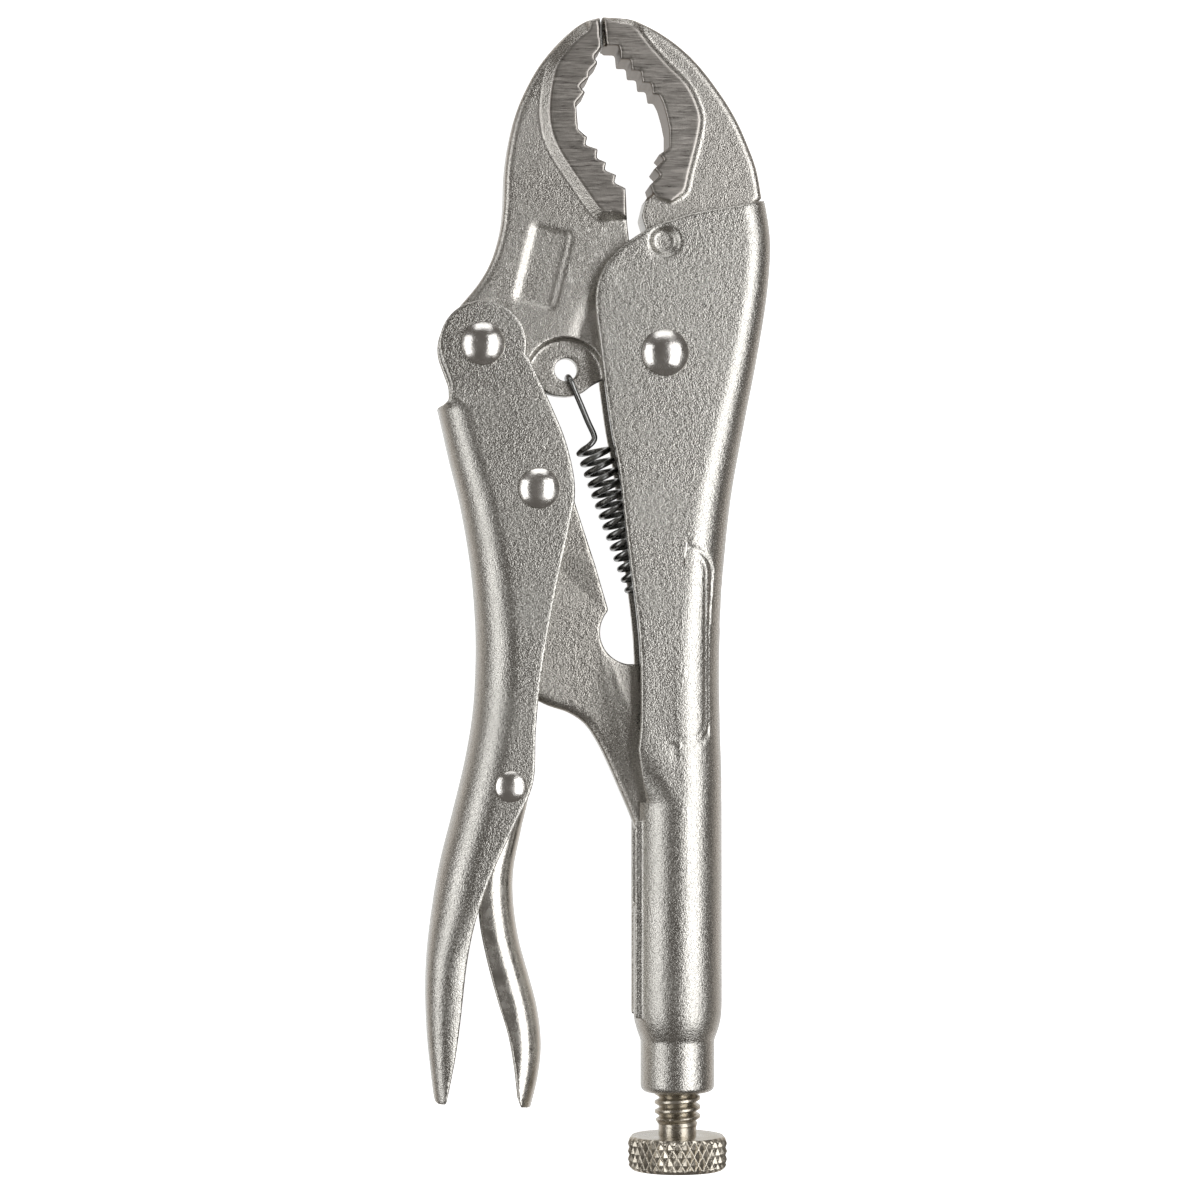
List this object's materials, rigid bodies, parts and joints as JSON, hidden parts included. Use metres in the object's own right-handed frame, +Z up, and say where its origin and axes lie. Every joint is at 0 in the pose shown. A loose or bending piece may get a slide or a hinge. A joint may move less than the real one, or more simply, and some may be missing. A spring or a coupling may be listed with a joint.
{
  "type": "locking pliers",
  "caption": "Curved-jaw locking pliers, closed and locked, with a toggle link, release lever and knurled adjusting screw.",
  "frame": {"origin": "under the middle of the tool's box, on the surface that it lies on", "axes": "+Y towards the jaw tips, +X from the movable handle towards the fixed handle, +Z up along the rivets"},
  "size_m": [0.0525, 0.1756, 0.0172],
  "materials": {
    "handle_nickel": "blasted nickel plate",
    "jaw_nickel": "blasted nickel plate with ground faces",
    "link_nickel": "blasted nickel plate",
    "lever_nickel": "smooth bright nickel plate",
    "rivet_nickel": "polished",
    "screw_nickel": "satin nickel plate, knurled head",
    "spring_steel": "glossy dark spring steel"
  },
  "bodies": {
    "fixed_side": {"fixed_handle": "handle_nickel", "fixed_jaw": "jaw_nickel", "main_pivot_rivet": "rivet_nickel", "return_spring": "spring_steel"},
    "movable_jaw": {"movable_jaw": "jaw_nickel"},
    "movable_handle": {"movable_handle": "handle_nickel", "jaw_handle_rivet": "rivet_nickel", "link_rivet": "rivet_nickel", "release_lever_rivet": "rivet_nickel"},
    "toggle_link": {"toggle_link": "link_nickel"},
    "release_lever": {"release_lever": "lever_nickel"},
    "screw_nose": {"screw_nose": "screw_nickel"},
    "adjusting_screw": {"adjusting_screw": "screw_nickel"}
  },
  "joints": [
    {"name": "jaw_pivot", "type": "hinge", "parent": "fixed_side", "child": "movable_jaw", "pos_m": [0.00985, 0.03655, 0.0086], "axis": [0, 0, 1], "range_deg": [0, 25], "deforming": ["return_spring"]},
    {"name": "handle_pivot", "type": "hinge", "parent": "movable_jaw", "child": "movable_handle", "pos_m": [-0.01775, 0.03775, 0.0086], "axis": [0, 0, 1], "range_deg": [-76.44, 0]},
    {"name": "link_pivot", "type": "hinge", "parent": "movable_handle", "child": "toggle_link", "pos_m": [-0.00925, 0.01595, 0.0086], "axis": [0, 0, 1], "range_deg": [0, 70.42]},
    {"name": "lever_pivot", "type": "hinge", "parent": "movable_handle", "child": "release_lever", "pos_m": [-0.01355, -0.02905, 0.0086], "axis": [0, 0, 1], "range_deg": [-10, 0]},
    {"name": "screw_slide", "type": "slide", "parent": "fixed_side", "child": "screw_nose", "axis": [0, -1, 0], "range_m": [0, 0.014]},
    {"name": "screw_spin", "type": "hinge", "parent": "screw_nose", "child": "adjusting_screw", "pos_m": [0.01225, -0.05845, 0.0086], "axis": [0, -1, 0], "range_deg": [0, 3600]}
  ],
  "couplings": [
    {"joint": "handle_pivot", "follows": "jaw_pivot", "ratio": -3.0555},
    {"joint": "link_pivot", "follows": "jaw_pivot", "ratio": 2.8147},
    {"joint": "screw_spin", "follows": "screw_slide", "rad_per_m": 4487.9}
  ]
}
